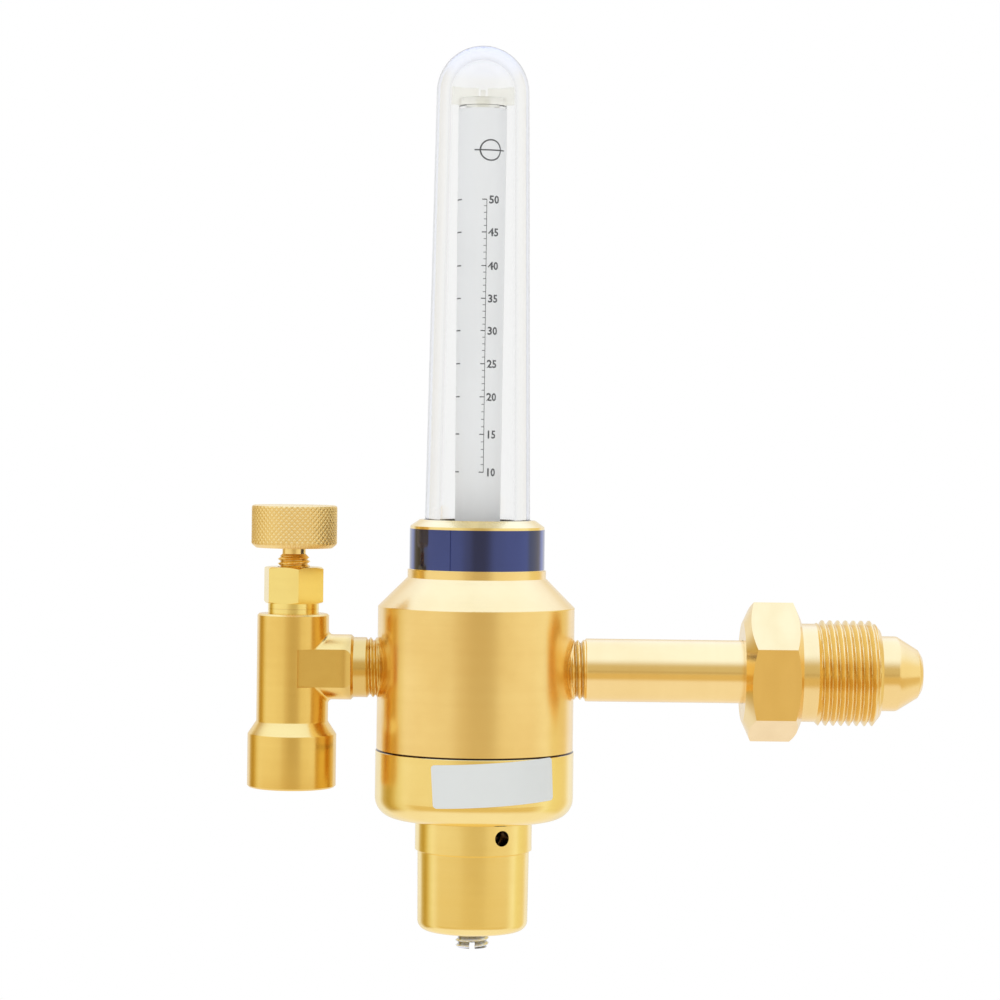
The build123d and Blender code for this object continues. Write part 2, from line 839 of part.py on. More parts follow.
def valve_body():
    """Tee with a tapered socket below and a threaded nipple on its branch."""
    bar = turned(
        (0, valve_bottom, 0),
        (socket_radius - socket_chamfer, valve_bottom, 0),
        (socket_radius, valve_bottom + socket_chamfer, 0),
        (socket_radius, socket_shoulder, socket_corner),
        (valve_radius, valve_waist, waist_corner),
        (valve_radius, valve_top - socket_chamfer, 0),
        (valve_radius - socket_chamfer, valve_top, 0),
        (0, valve_top, 0),
    )
    flats_end = branch_reach - branch_band
    branch = onto_x * turned(
        (0, 0, 0),
        (branch_radius, 0, 0),
        (branch_radius, branch_reach - (branch_radius - nipple_radius), 0),
        (nipple_radius, branch_reach, 0),
        (0, branch_reach, 0),
    )
    tee = bar + branch
    corner = [e for e in tee.edges() if e.geom_type not in (GeomType.LINE, GeomType.CIRCLE)]
    joint = [e for e in corner if 0 < e.center().X < valve_radius + branch_fillet]
    tee = fillet(joint, branch_fillet)
    flat_height = math.sqrt(branch_radius ** 2 - flat_depth ** 2)
    for side in (1, -1):
        cut_depth = valve_radius
        cutter = Box(flats_end - flat_start, cut_depth, flat_height * 2)
        middle = (flats_end + flat_start) / 2
        tee -= Pos(middle, side * (flat_depth + cut_depth / 2), 0) * cutter
        runout = Cylinder(flat_cutter_radius, flat_height * 2)
        tee -= Pos(flats_end, side * (flat_depth + flat_cutter_radius), 0) * runout
    nipple_end = valve_offset - pipe_thread_end
    nipple = onto_x * rod(nipple_radius, branch_reach, nipple_end)
    thread_tip = valve_offset - pipe_thread_tip
    thread = onto_x * pipe_thread(nipple_end, thread_tip)
    tee += nipple
    tee += thread
    tee -= rod(gland_thread_radius + screwed_clearance, needle_chamber_top, valve_top)
    tee -= rod(needle_chamber_radius, needle_seat_height, needle_chamber_top)
    tee -= rod(needle_seat_radius, valve_bottom, needle_seat_height)
    outlet_top = valve_bottom + outlet_depth
    tee -= rod(outlet_radius, valve_bottom, outlet_top)
    tee -= turned(
        (0, outlet_top, 0),
        (outlet_radius - outlet_ledge, outlet_top, 0),
        (outlet_way_radius, outlet_top + outlet_seat_depth, 0),
        (0, outlet_top + outlet_seat_depth, 0),
    )
    tee -= drilled((0, 0, 0), (thread_tip, 0, 0), branch_way_radius)
    return at_valve * tee


def valve_gland():
    """Hexagon with a collar and a thread, bored for the stem."""
    corner = gland_flats / 2 / math.cos(math.radians(hexagon_half_angle))
    envelope = turned(
        (0, gland_hex_bottom, 0),
        (gland_flats / 2, gland_hex_bottom, 0),
        (corner, gland_hex_bottom + gland_chamfer, 0),
        (corner, gland_top - gland_chamfer, 0),
        (gland_flats / 2, gland_top, 0),
        (0, gland_top, 0),
    )
    edge = gland_edge_angle - quarter_turn
    gland = hexagon(gland_flats, gland_hex_bottom, gland_top, edge) & envelope
    gland += rod(gland_collar_radius, valve_top, gland_hex_bottom)
    gland += rod(gland_thread_radius, gland_bottom, valve_top)
    gland -= rod(stem_rod_radius + running_clearance, gland_bottom, gland_top)
    bore_base = stem_thread_bottom - loose_clearance
    gland -= rod(stem_thread_radius + running_clearance, bore_base, gland_top)
    return at_valve * gland


def needle_stem():
    """Threaded stem with a seal groove and the needle's cone."""
    groove_top = stem_groove_height + stem_groove_width
    slope = math.tan(math.radians(needle_half_angle))
    cone_top = needle_seat_height + contact_gap + (needle_radius - needle_seat_radius) / slope
    tip = cone_top - (needle_radius - needle_tip_radius) / slope
    stem = turned(
        (0, tip, 0),
        (needle_tip_radius, tip, 0),
        (needle_radius, cone_top, 0),
        (needle_radius, needle_rod_top, 0),
        (stem_rod_radius, needle_rod_top, 0),
        (stem_rod_radius, stem_groove_height, 0),
        (stem_groove_radius, stem_groove_height, 0),
        (stem_groove_radius, groove_top, 0),
        (stem_rod_radius, groove_top, 0),
        (stem_rod_radius, stem_thread_bottom, 0),
        (stem_thread_radius, stem_thread_bottom, 0),
        (stem_thread_radius, stem_thread_top, 0),
        (stem_neck_radius, stem_thread_top, 0),
        (stem_neck_radius, knob_bore_end, 0),
        (0, knob_bore_end, 0),
    )
    return at_valve * stem


def stem_oring():
    """Seal in the stem's groove."""
    inner = stem_groove_radius + contact_gap
    outer = stem_rod_radius
    bottom = stem_groove_height + contact_gap
    top = stem_groove_height + stem_groove_width - contact_gap
    corner = (outer - inner) * seal_corner_share
    seal = turned(
        (inner, bottom, corner),
        (outer, bottom, corner),
        (outer, top, corner),
        (inner, top, corner),
    )
    return at_valve * seal


def valve_knob():
    """Round knob with a blind bore for the stem."""
    knob = turned(
        (stem_neck_radius, knob_bottom, 0),
        (knob_radius - knob_chamfer, knob_bottom, 0),
        (knob_radius, knob_bottom + knob_chamfer, 0),
        (knob_radius, knob_top - knob_top_chamfer, 0),
        (knob_radius - knob_top_chamfer, knob_top, 0),
        (0, knob_top, 0),
        (0, knob_bore_end, 0),
        (stem_neck_radius, knob_bore_end, 0),
    )
    return at_valve * knob


def blank_label():
    """Plain label that wraps the bonnet's cup, a little tilted."""
    middle = Pos(0, 0, label_centre_height)
    to_centre = Rot(0, 0, label_centre_angle)
    sheet = ring(bonnet_radius, bonnet_radius + label_thickness, -label_height, label_height)
    half_arc = math.radians(label_arc_angle / 2)
    width = 2 * bonnet_radius * math.sin(half_arc)
    outline = Plane.XZ * RectangleRounded(width, label_height, label_corner)
    window = Rot(0, -label_tilt, 0) * extrude(outline, bonnet_radius * cutter_oversize)
    return middle * to_centre * (sheet & window)


nodes = {
    "regulator_body": regulator_body,
    "bonnet": bonnet,
    "adjusting_screw": adjusting_screw,
    "spring_button": spring_button,
    "range_spring": range_spring,
    "diaphragm_plate": diaphragm_plate,
    "diaphragm": diaphragm,
    "slip_ring": slip_ring,
    "valve_nozzle": valve_nozzle,
    "nozzle_gasket": nozzle_gasket,
    "poppet": poppet,
    "poppet_seat": poppet_seat,
    "poppet_spring": poppet_spring,
    "dome_collar": dome_collar,
    "label_band": label_band,
    "dome": dome,
    "dome_oring": dome_oring,
    "metering_tube": metering_tube,
    "scale_film": scale_film,
    "tube_oring": tube_oring,
    "tube_stop": tube_stop,
    "float_ball": float_ball,
    "valve_body": valve_body,
    "valve_gland": valve_gland,
    "needle_stem": needle_stem,
    "stem_oring": stem_oring,
    "valve_knob": valve_knob,
    "inlet_stem": inlet_stem,
    "inlet_nut": inlet_nut,
    "inlet_filter": inlet_filter,
    "blank_label": blank_label,
}

os.makedirs("parts", exist_ok=True)
for name, build in nodes.items():
    placed = Pos(-mount_centre, 0, 0) * build()
    export_step(placed, f"parts/{name}.step")
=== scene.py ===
import bpy
import bmesh
import math
import numpy as np
from mathutils import Euler, Matrix, Vector


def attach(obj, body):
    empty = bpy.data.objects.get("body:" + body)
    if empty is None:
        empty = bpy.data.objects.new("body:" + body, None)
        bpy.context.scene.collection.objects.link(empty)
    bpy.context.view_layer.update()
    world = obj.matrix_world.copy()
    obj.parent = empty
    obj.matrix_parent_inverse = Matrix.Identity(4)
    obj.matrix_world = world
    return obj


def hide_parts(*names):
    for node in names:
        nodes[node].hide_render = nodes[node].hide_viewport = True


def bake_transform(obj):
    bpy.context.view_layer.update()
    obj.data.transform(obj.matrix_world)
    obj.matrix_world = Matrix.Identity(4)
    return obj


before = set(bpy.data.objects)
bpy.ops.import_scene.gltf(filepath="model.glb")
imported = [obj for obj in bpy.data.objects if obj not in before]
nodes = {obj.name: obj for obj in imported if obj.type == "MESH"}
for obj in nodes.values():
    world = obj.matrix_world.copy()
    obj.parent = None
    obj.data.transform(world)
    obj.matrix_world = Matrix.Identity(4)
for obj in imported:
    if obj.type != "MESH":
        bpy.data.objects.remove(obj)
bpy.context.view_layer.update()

# Regulator body and bonnet. Both are turned from brass bar, so the tool leaves fine rings about
# the axis, and handling leaves faint cloudy patches. The bonnet screws up over the body's spigot.
mm = 0.001
flow_axis_x = -85.35 * mm
flow_axis = (flow_axis_x, 0, 0)
body_radius = 22.8 * mm
brass_tones = (0.935, 0.68, 0.26), (0.925, 0.667, 0.252)
bonnet_tones = (0.965, 0.755, 0.285), (0.955, 0.74, 0.27)
turned_rough = 0.19
handled_tint = (0.97, 0.945, 0.9)
# seam_painted_shade is painted shade: a near-black line at the seam between body and bonnet, where the gap's
# shade falls.
seam_painted_shade = (0.07, 0.035, 0.01)
# recess_painted_shade is painted shade: dark brown inside the bonnet's barrel and the collar's lip, where
# shade falls in the recess.
recess_painted_shade = (0.16, 0.08, 0.02)


def new_group(name, inputs, outputs):
    """Empty shader node group with named inputs (name, kind, start value) and outputs (name, kind)."""
    group = bpy.data.node_groups.new(name, "ShaderNodeTree")
    for title, kind, value in inputs:
        socket = group.interface.new_socket(title, in_out="INPUT", socket_type=kind)
        if value is not None:
            socket.default_value = value
    for title, kind in outputs:
        group.interface.new_socket(title, in_out="OUTPUT", socket_type=kind)
    return group, group.nodes.new("NodeGroupInput"), group.nodes.new("NodeGroupOutput")


def add(tree, kind, links=None, **settings):
    """Adds one node, sets its properties, and fills its inputs with values or other nodes' outputs."""
    made = tree.nodes.new(kind)
    for key, value in settings.items():
        setattr(made, key, value)
    for key, value in (links or {}).items():
        if isinstance(value, bpy.types.NodeSocket):
            tree.links.new(value, made.inputs[key])
        else:
            made.inputs[key].default_value = value
    return made


def maths(tree, operation, *values):
    """Output of a Math node."""
    return add(tree, "ShaderNodeMath", dict(enumerate(values)), operation=operation).outputs[0]


def spread(tree, value, start=0.0, end=1.0, low=0.0, high=1.0, kind="LINEAR"):
    """Output of a Map Range node, which goes from low to high as the value goes from start to end."""
    links = {0: value, 1: start, 2: end, 3: low, 4: high}
    return add(tree, "ShaderNodeMapRange", links, interpolation_type=kind).outputs[0]


def blended(tree, share, first, second, way="MIX"):
    """Output of a colour Mix node."""
    links = {"Factor": share, "A": first, "B": second}
    return add(tree, "ShaderNodeMix", links, data_type="RGBA", blend_type=way).outputs["Result"]


def noise(tree, place, scale, detail, roughness=0.5):
    """Value of a Noise Texture node."""
    links = {"Vector": place, "Scale": scale, "Detail": detail, "Roughness": roughness}
    return add(tree, "ShaderNodeTexNoise", links).outputs[0]


def from_z_axis(tree, place):
    """Distance of a place from the Z axis."""
    flat = add(tree, "ShaderNodeVectorMath", {0: place, 1: (1, 1, 0)}, operation="MULTIPLY")
    return add(tree, "ShaderNodeVectorMath", {0: flat.outputs["Vector"]}, operation="LENGTH").outputs["Value"]


def height_of(tree, place):
    """Height of a place."""
    return add(tree, "ShaderNodeSeparateXYZ", {0: place}).outputs["Z"]


def lathe_marks_group():
    """Rings left by a turning tool: noise that changes only with height and with distance from the axis.
    The broad rings, which shade the metal, lie further apart than the fine ones."""
    group, given, result = new_group(
        "lathe_marks",
        [("Position", "NodeSocketVector", None), ("Rings per mm", "NodeSocketFloat", 4.0)],
        [("Height", "NodeSocketFloat"), ("Shade", "NodeSocketFloat")],
    )
    broad_share = 0.12
    place = given.outputs["Position"]
    links = {0: from_z_axis(group, place), 1: height_of(group, place)}
    profile = add(group, "ShaderNodeCombineXYZ", links).outputs[0]
    per_metre = maths(group, "MULTIPLY", given.outputs["Rings per mm"], 1 / mm)
    broad_per_metre = maths(group, "MULTIPLY", per_metre, broad_share)
    group.links.new(noise(group, profile, per_metre, detail=2.0), result.inputs["Height"])
    group.links.new(noise(group, profile, broad_per_metre, detail=1.0), result.inputs["Shade"])
    return group


def handling_group():
    """Cloudy patches from hands and storage, as a mask from 0 to 1."""
    group, given, result = new_group(
        "handling",
        [("Position", "NodeSocketVector", None), ("Patch size", "NodeSocketFloat", 20 * mm)],
        [("Patches", "NodeSocketFloat")],
    )
    clean_below, full_above = 0.42, 0.68
    scale = maths(group, "DIVIDE", 1.0, given.outputs["Patch size"])
    cloud = noise(group, given.outputs["Position"], scale, detail=5.0, roughness=0.6)
    group.links.new(spread(group, cloud, clean_below, full_above), result.inputs["Patches"])
    return group


def stain_and_shade_group():
    """Darker colour in a groove or at a joint, which is painted shade in most uses: it grows from 0 to 1 as
    the distance from the Z axis goes from the unmarked radius to the deep one, between two heights, and is 0
    elsewhere. A deep radius above the unmarked one darkens what lies outside it."""
    group, given, result = new_group(
        "groove_stain_and_shade",
        [
            ("Position", "NodeSocketVector", None),
            ("Deep radius", "NodeSocketFloat", 0.0), ("Unmarked radius", "NodeSocketFloat", 1 * mm),
            ("From", "NodeSocketFloat", 0.0), ("To", "NodeSocketFloat", 1 * mm),
        ],
        [("Stain and shade", "NodeSocketFloat")],
    )
    place = given.outputs["Position"]
    height = height_of(group, place)
    deep_radius, unmarked_radius = given.outputs["Deep radius"], given.outputs["Unmarked radius"]
    deep = spread(group, from_z_axis(group, place), deep_radius, unmarked_radius, 1.0, 0.0)
    above = maths(group, "GREATER_THAN", height, given.outputs["From"])
    below = maths(group, "LESS_THAN", height, given.outputs["To"])
    inside = maths(group, "MULTIPLY", above, below)
    group.links.new(maths(group, "MULTIPLY", inside, deep), result.inputs["Stain and shade"])
    return group


lathe_marks = lathe_marks_group()
handling = handling_group()
groove_stain_and_shade = stain_and_shade_group()


def new_material(name):
    """Empty material, its node tree, and the place that its patterns read."""
    material = bpy.data.materials.new(name)
    material.use_nodes = True
    tree = material.node_tree
    tree.nodes.clear()
    return material, tree, add(tree, "ShaderNodeTexCoord").outputs["Object"]


def surface(tree, links):
    """Ends a material in one Principled shader with the given inputs, and returns its output node."""
    shader = add(tree, "ShaderNodeBsdfPrincipled", links)
    return add(tree, "ShaderNodeOutputMaterial", {"Surface": shader.outputs[0]})


def metal(
    name, bright, dull, rough, centre=(0, 0, 0), turn=(0, 0, 0), rings=4.0, cut=0.0025 * mm, grooves=()
):
    """Turned metal. bright and dull are its colours between tool rings, and cut is the rings' depth. Each
    groove gives the radii at which its darker colour is full and gone, the heights it lies between, and that
    colour, which is painted shade on most parts."""
    material, tree, place = new_material(name)
    moved = {"Vector": place, "Rotation": Euler(turn), "Location": [-c for c in centre]}
    on_axis = add(tree, "ShaderNodeMapping", moved).outputs[0]
    marks = add(tree, "ShaderNodeGroup", node_tree=lathe_marks)
    tree.links.new(on_axis, marks.inputs["Position"])
    marks.inputs["Rings per mm"].default_value = rings
    patches = add(tree, "ShaderNodeGroup", {"Position": place}, node_tree=handling).outputs["Patches"]
    tone = spread(tree, marks.outputs["Shade"], 0.3, 0.7)
    ground = blended(tree, tone, (*dull, 1), (*bright, 1))
    colour = blended(tree, patches, ground, (*handled_tint, 1), "MULTIPLY")
    ringed = spread(tree, marks.outputs["Height"], low=rough * 0.8, high=rough * 1.2)
    gloss = maths(tree, "MULTIPLY_ADD", patches, rough * 0.3, ringed)
    bump = add(tree, "ShaderNodeBump", {"Height": marks.outputs["Height"], "Distance": cut, "Strength": 1.0})
    for groove in grooves:
        span = {
            "Position": on_axis, "Deep radius": groove["deep"], "Unmarked radius": groove["unmarked"],
            "From": groove["low"], "To": groove["high"],
        }
        darkening = add(tree, "ShaderNodeGroup", span, node_tree=groove_stain_and_shade)
        colour = blended(tree, darkening.outputs["Stain and shade"], colour, (*groove["stain_and_shade"], 1))
    surface(tree, {"Base Color": colour, "Metallic": 1.0, "Roughness": gloss, "Normal": bump.outputs[0]})
    return material


def finish_node(name, material):
    """Gives a CAD node its material."""
    nodes[name].material_slots[0].material = material


# Painted shade: the ring at the seam between body and bonnet is darkened, for the shade in the gap.
seam = dict(deep=24 * mm, unmarked=26 * mm, low=-19.03 * mm, high=-18.6 * mm, stain_and_shade=seam_painted_shade)
# Painted shade: the inside of the bonnet's barrel is darkened, for the shade in that recess.
inside_barrel = dict(deep=12.6 * mm, unmarked=13.4 * mm, low=-40.0 * mm, high=-36.0 * mm, stain_and_shade=recess_painted_shade)
turned_brass = metal("turned_brass", *brass_tones, rough=turned_rough, centre=flow_axis, grooves=(seam,))
bonnet_brass = metal(
    "bonnet_brass", *bonnet_tones, rough=turned_rough, centre=flow_axis, grooves=(seam, inside_barrel)
)
finish_node("regulator_body", turned_brass)
finish_node("bonnet", bonnet_brass)

# Adjusting screw. A slotted steel screw with a rolled M8 thread and bright zinc plating. It screws
# up through the bonnet's end on to the spring button.
screw_foot, screw_head = -64.7 * mm, -51.4 * mm
screw_radius, screw_chamfer = 3.9 * mm, 0.5 * mm
slot_half_width, slot_top = 0.65 * mm, -63.1 * mm
zinc_tones = (0.87, 0.87, 0.85), (0.81, 0.82, 0.81)
weld_gap = 0.0002 * mm
x_way, z_way = 0, 2


def bare_copy(node, axis_at, along, outline):
    """Triangles of a CAD node without those that lie on an outline, given as (station, radius) points
    along an axis, X or Z. A triangle lies on it where its corners and its centre all do."""
    corner_slack, centre_slack = 0.02 * mm, 0.15 * mm
    source = nodes[node].data
    points = np.empty(len(source.vertices) * 3, np.float32)
    source.vertices.foreach_get("co", points)
    points = points.reshape(-1, 3).astype(float)
    corners = np.empty(len(source.loops), np.int32)
    source.loops.foreach_get("vertex_index", corners)
    triangles = corners.reshape(-1, 3)
    first, second = [i for i in range(3) if i != along]

    def off_outline(spots):
        from_axis = np.hypot(spots[:, first] - axis_at[0], spots[:, second] - axis_at[1])
        place = np.stack([spots[:, along], from_axis], -1)
        line = np.array(outline, float)
        leg = line[1:] - line[:-1]
        step = ((place[:, None] - line[:-1]) * leg).sum(-1) / (leg ** 2).sum(-1)
        nearest = line[:-1] + np.clip(step, 0, 1)[..., None] * leg
        return np.linalg.norm(place[:, None] - nearest, axis=-1).min(1)

    on_corners = (off_outline(points)[triangles] < corner_slack).all(1)
    on_centre = off_outline(points[triangles].mean(1)) < centre_slack
    return points, triangles[~(on_corners & on_centre)]


def thread_wall(axis_at, along, limit, crest_radii, pitch, depth, lead_in, into_body=False):
    """Outside of a screw thread as a grid. At angle a and station t the radius is the crest's, less depth
    times how far t / pitch - a / turn lies from the nearest crest, and never more than the limit line's.
    Over lead_in from each end the grooves grow to their full depth. A thread that is screwed into the
    body has none within the body's wall. The angles start off zero, so that no corner of the thread
    falls on a corner of the wall beside it."""
    around, first_angle, rows_per_pitch = 96, 0.013, 16
    flat_share, body_edge, least_lead = 0.12, 0.4 * mm, 1e-9
    stations, radii = np.array(limit, float).T
    start, end = stations[0], stations[-1]
    even = np.linspace(start, end, int((end - start) / pitch * rows_per_pitch) + 1)
    rows = np.unique(np.concatenate([even, stations]))
    angle = first_angle + np.linspace(0, 2 * math.pi, around, endpoint=False)
    travel, a = np.meshgrid(rows, angle, indexing="ij")
    crest = np.interp(travel, [start, end], crest_radii)
    wave = abs(2 * ((travel / pitch - a / (2 * math.pi)) % 1.0) - 1)
    rise = np.clip((wave - flat_share) / (1 - 2 * flat_share), 0, 1)
    grown = np.clip(np.minimum(travel - start, end - travel) / max(lead_in, least_lead), 0, 1)
    if into_body:
        from_axis = np.hypot(travel - flow_axis_x, crest * np.cos(a))
        grown *= np.clip((from_axis - body_radius) / body_edge, 0, 1)
    radius = np.minimum(crest - depth * (1 - rise) * grown, np.interp(travel, stations, radii))
    first, second = [i for i in range(3) if i != along]
    grid = np.empty((*travel.shape, 3))
    grid[..., along] = travel
    grid[..., first] = axis_at[0] + radius * np.cos(a)
    grid[..., second] = axis_at[1] + radius * np.sin(a)
    return grid


def grid_faces(rows, columns, wrap=True):
    """Four-cornered faces of a grid whose columns may close into a ring."""
    i, j = np.meshgrid(np.arange(rows - 1), np.arange(columns if wrap else columns - 1), indexing="ij")
    k = (j + 1) % columns
    low, high = i * columns, (i + 1) * columns
    return np.stack([low + j, low + k, high + k, high + j], -1).reshape(-1, 4)


def as_piece(name, work, mesh, material, sharp):
    """Object whose mesh is filled from a bmesh. Edges over the sharp angle stay hard."""
    work.to_mesh(mesh)
    work.free()
    mesh.polygons.foreach_set("use_smooth", [True] * len(mesh.polygons))
    mesh.set_sharp_from_angle(angle=math.radians(sharp))
    mesh.materials.append(material)
    piece = bpy.data.objects.new(name, mesh)
    bpy.context.scene.collection.objects.link(piece)
    return piece


def put_together(name, parts, material, body, sharp=12.0):
    """One mesh piece from (points, faces) parts whose faces point outwards, with doubles merged."""
    mesh = bpy.data.meshes.new(name)
    points, faces, first = [], [], 0
    for p, f in parts:
        points.append(np.asarray(p, float).reshape(-1, 3))
        faces += (np.asarray(f) + first).tolist()
        first += len(points[-1])
    mesh.from_pydata(np.concatenate(points), [], faces)
    work = bmesh.new()
    work.from_mesh(mesh)
    bmesh.ops.remove_doubles(work, verts=work.verts, dist=weld_gap)
    piece = as_piece(name, work, mesh, material, sharp)
    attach(piece, body)
    return piece


def threaded(node, name, axis_at, along, outline, limit, crest_radii, thread, material, body, hole=None):
    """Replaces a CAD node by a copy whose plain wall, the outline, is cut as a screw thread. thread holds
    its pitch, depth and lead-in. hole picks out the faces to leave open, from their centres."""
    points, kept = bare_copy(node, axis_at, along, outline)
    wall = thread_wall(axis_at, along, limit, crest_radii, **thread)
    faces = grid_faces(*wall.shape[:2])
    if hole:
        faces = faces[~hole(wall.reshape(-1, 3)[faces].mean(1))]
    piece = put_together(name, [(points, kept), (wall, faces)], material, body)
    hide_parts(node)
    return piece


def in_slot(spots):
    """Whether a place on the screw's wall lies where its slot cuts through."""
    return (abs(spots[:, 0] - flow_axis_x) < slot_half_width) & (spots[:, 2] < slot_top)


screw_line = [
    (screw_foot, screw_radius - screw_chamfer), (screw_foot + screw_chamfer, screw_radius),
    (screw_head - screw_chamfer, screw_radius), (screw_head, screw_radius - screw_chamfer),
]
# Painted shade: the screw's thread roots are coloured a darker grey than the zinc, where shade falls in the
# grooves.
screw_thread_shade = dict(deep=3.2 * mm, unmarked=3.7 * mm, low=screw_foot, high=screw_head, stain_and_shade=(0.4, 0.39, 0.36))
zinc = metal("zinc_plate", *zinc_tones, rough=0.22, centre=flow_axis, cut=0.004 * mm, grooves=(screw_thread_shade,))
screw = threaded(
    "adjusting_screw", "screw_with_thread", (flow_axis_x, 0), z_way, screw_line, screw_line,
    (screw_radius, screw_radius), dict(pitch=1.25 * mm, depth=0.68 * mm, lead_in=0.15 * mm), zinc,
    "adjusting_screw", in_slot,
)

# Parts inside the regulator. The springs are drawn steel wire, the button is zinc plated, the plate,
# nozzle and poppet are machined brass, the diaphragm and the seals are black rubber, and the
# poppet's seat is white plastic.
inner_tones = (0.84, 0.6, 0.27), (0.74, 0.52, 0.22)


def plain(name, colour, rough, mottle=0.06, grain=600.0, depth=0.02 * mm, metallic=0.0, **settings):
    """Moulded or drawn material with a fine grain and a slight mottle in its colour."""
    material, tree, place = new_material(name)
    patches = add(tree, "ShaderNodeGroup", {"Position": place}, node_tree=handling).outputs["Patches"]
    fine = noise(tree, place, grain, detail=3.0)
    handled = [c * (1 - mottle) for c in colour]
    paint = blended(tree, patches, (*colour, 1), (*handled, 1))
    gloss = spread(tree, fine, low=rough * 0.85, high=rough * 1.15)
    bump = add(tree, "ShaderNodeBump", {"Height": fine, "Distance": depth, "Strength": 1.0})
    look = {"Base Color": paint, "Metallic": metallic, "Roughness": gloss, "Normal": bump.outputs[0]}
    surface(tree, {**look, **settings})
    return material


spring_steel = plain("spring_steel", (0.46, 0.45, 0.44), rough=0.3, grain=1500.0, metallic=1.0)
inner_brass = metal("inner_brass", *inner_tones, rough=0.26, centre=flow_axis, rings=3.0)
rubber = plain("black_rubber", (0.022, 0.022, 0.024), rough=0.55, mottle=0.2)
finish_node("poppet_spring", spring_steel)
finish_node("spring_button", zinc)
for machined in ("diaphragm_plate", "valve_nozzle", "poppet"):
    finish_node(machined, inner_brass)
for seal in ("diaphragm", "dome_oring", "tube_oring", "stem_oring"):
    finish_node(seal, rubber)
finish_node("slip_ring", plain("slip_ring_plastic", (0.7, 0.68, 0.62), rough=0.4))
finish_node("nozzle_gasket", plain("soft_copper", (0.72, 0.36, 0.22), rough=0.3, metallic=1.0))
finish_node("poppet_seat", plain("seat_plastic", (0.82, 0.82, 0.8), rough=0.35))

# Range spring. A coil of wire with closed ends, made in two halves that meet at mid height.
spring_top, spring_middle, spring_foot, spring_wire = -27.8 * mm, -39.0 * mm, -50.2 * mm, 2.4 * mm


def half_spring(name, upper):
    """The range spring above or below its mid height, with the cut closed."""
    work = bmesh.new()
    work.from_mesh(nodes["range_spring"].data)
    bmesh.ops.remove_doubles(work, verts=work.verts, dist=weld_gap)
    whole = work.verts[:] + work.edges[:] + work.faces[:]
    bmesh.ops.bisect_plane(
        work, geom=whole, plane_co=(0, 0, spring_middle), plane_no=(0, 0, 1), clear_outer=not upper,
        clear_inner=upper,
    )
    bmesh.ops.holes_fill(work, edges=[e for e in work.edges if e.is_boundary])
    bmesh.ops.triangulate(work, faces=[f for f in work.faces if len(f.verts) > 4])
    piece = as_piece(name, work, bpy.data.meshes.new(name), spring_steel, 40.0)
    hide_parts("range_spring")
    return piece


upper_spring = half_spring("range_spring_upper", True)
lower_spring = half_spring("range_spring_lower", False)
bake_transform(upper_spring)
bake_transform(lower_spring)

# Dome collar and its band. The collar is turned brass, and the band is a strip of aluminium foil
# printed deep blue under a clear gloss, wrapped round it with a narrow gap of dark glue at the seam.
collar_tones = (0.95, 0.74, 0.31), (0.93, 0.71, 0.28)
glue_line = dict(deep=15.6 * mm, unmarked=15.7 * mm, low=23.1 * mm, high=32.4 * mm, stain_and_shade=(0.05, 0.064, 0.2))
# Painted shade: the collar's inner lip round the dome is darkened, for the shade in that recess.
lip = dict(deep=12.3 * mm, unmarked=12.6 * mm, low=31.4 * mm, high=34.6 * mm, stain_and_shade=recess_painted_shade)
collar_brass = metal(
    "collar_brass", *collar_tones, rough=0.15, centre=flow_axis, rings=5.0, grooves=(glue_line, lip)
)
finish_node("dome_collar", collar_brass)
blue_band = plain(
    "blue_band", (0.045, 0.06, 0.19), rough=0.09, mottle=0.25, grain=900.0, depth=0.001 * mm, metallic=0.9,
    **{"Coat Weight": 0.5, "Coat Roughness": 0.05},
)
finish_node("label_band", blue_band)

# Dome, metering tube, stop, ball and film. Dome and tube are clear moulded plastic, faintly grey. The
# stop that holds the ball in is cream plastic, the ball is black, and the film is thin white plastic.
clear_bend, clear_rough, wall_grey = 1.49, 0.01, (0.5, 0.51, 0.51)


def clear(name, tint, absorbed):
    """Clear moulded plastic with faint flow waves in its surface. absorbed is how fast its walls take up
    light, for each metre, so that they look greyer where they are seen edge on."""
    material, tree, place = new_material(name)
    waves = noise(tree, place, scale=55.0, detail=1.0)
    bump = add(tree, "ShaderNodeBump", {"Height": waves, "Distance": 0.1 * mm, "Strength": 0.25})
    patches = add(tree, "ShaderNodeGroup", {"Position": place}, node_tree=handling).outputs["Patches"]
    smear = spread(tree, patches, low=clear_rough, high=clear_rough * 2.5)
    look = {"Base Color": (*tint, 1), "Transmission Weight": 1.0, "Roughness": smear, "IOR": clear_bend}
    out = surface(tree, {**look, "Normal": bump.outputs[0]})
    inside = add(tree, "ShaderNodeVolumeAbsorption", {"Color": (*wall_grey, 1), "Density": absorbed})
    tree.links.new(inside.outputs[0], out.inputs["Volume"])
    return material


finish_node("dome", clear("clear_dome", (0.99, 0.99, 0.987), 44.0))
finish_node("metering_tube", clear("clear_tube", (0.985, 0.987, 0.985), 6.0))
for see_through in ("dome", "metering_tube"):
    nodes[see_through].visible_diffuse = False
    nodes[see_through].visible_shadow = False
cream = plain("cream_plastic", (0.985, 0.975, 0.91), rough=0.3, **{"Transmission Weight": 0.92, "IOR": 1.04})
finish_node("tube_stop", cream)
finish_node("float_ball", plain("ball_black", (0.02, 0.02, 0.022), rough=0.12))
finish_node("scale_film", plain("white_film", (0.915, 0.92, 0.91), rough=0.4, mottle=0.03, depth=0.004 * mm))

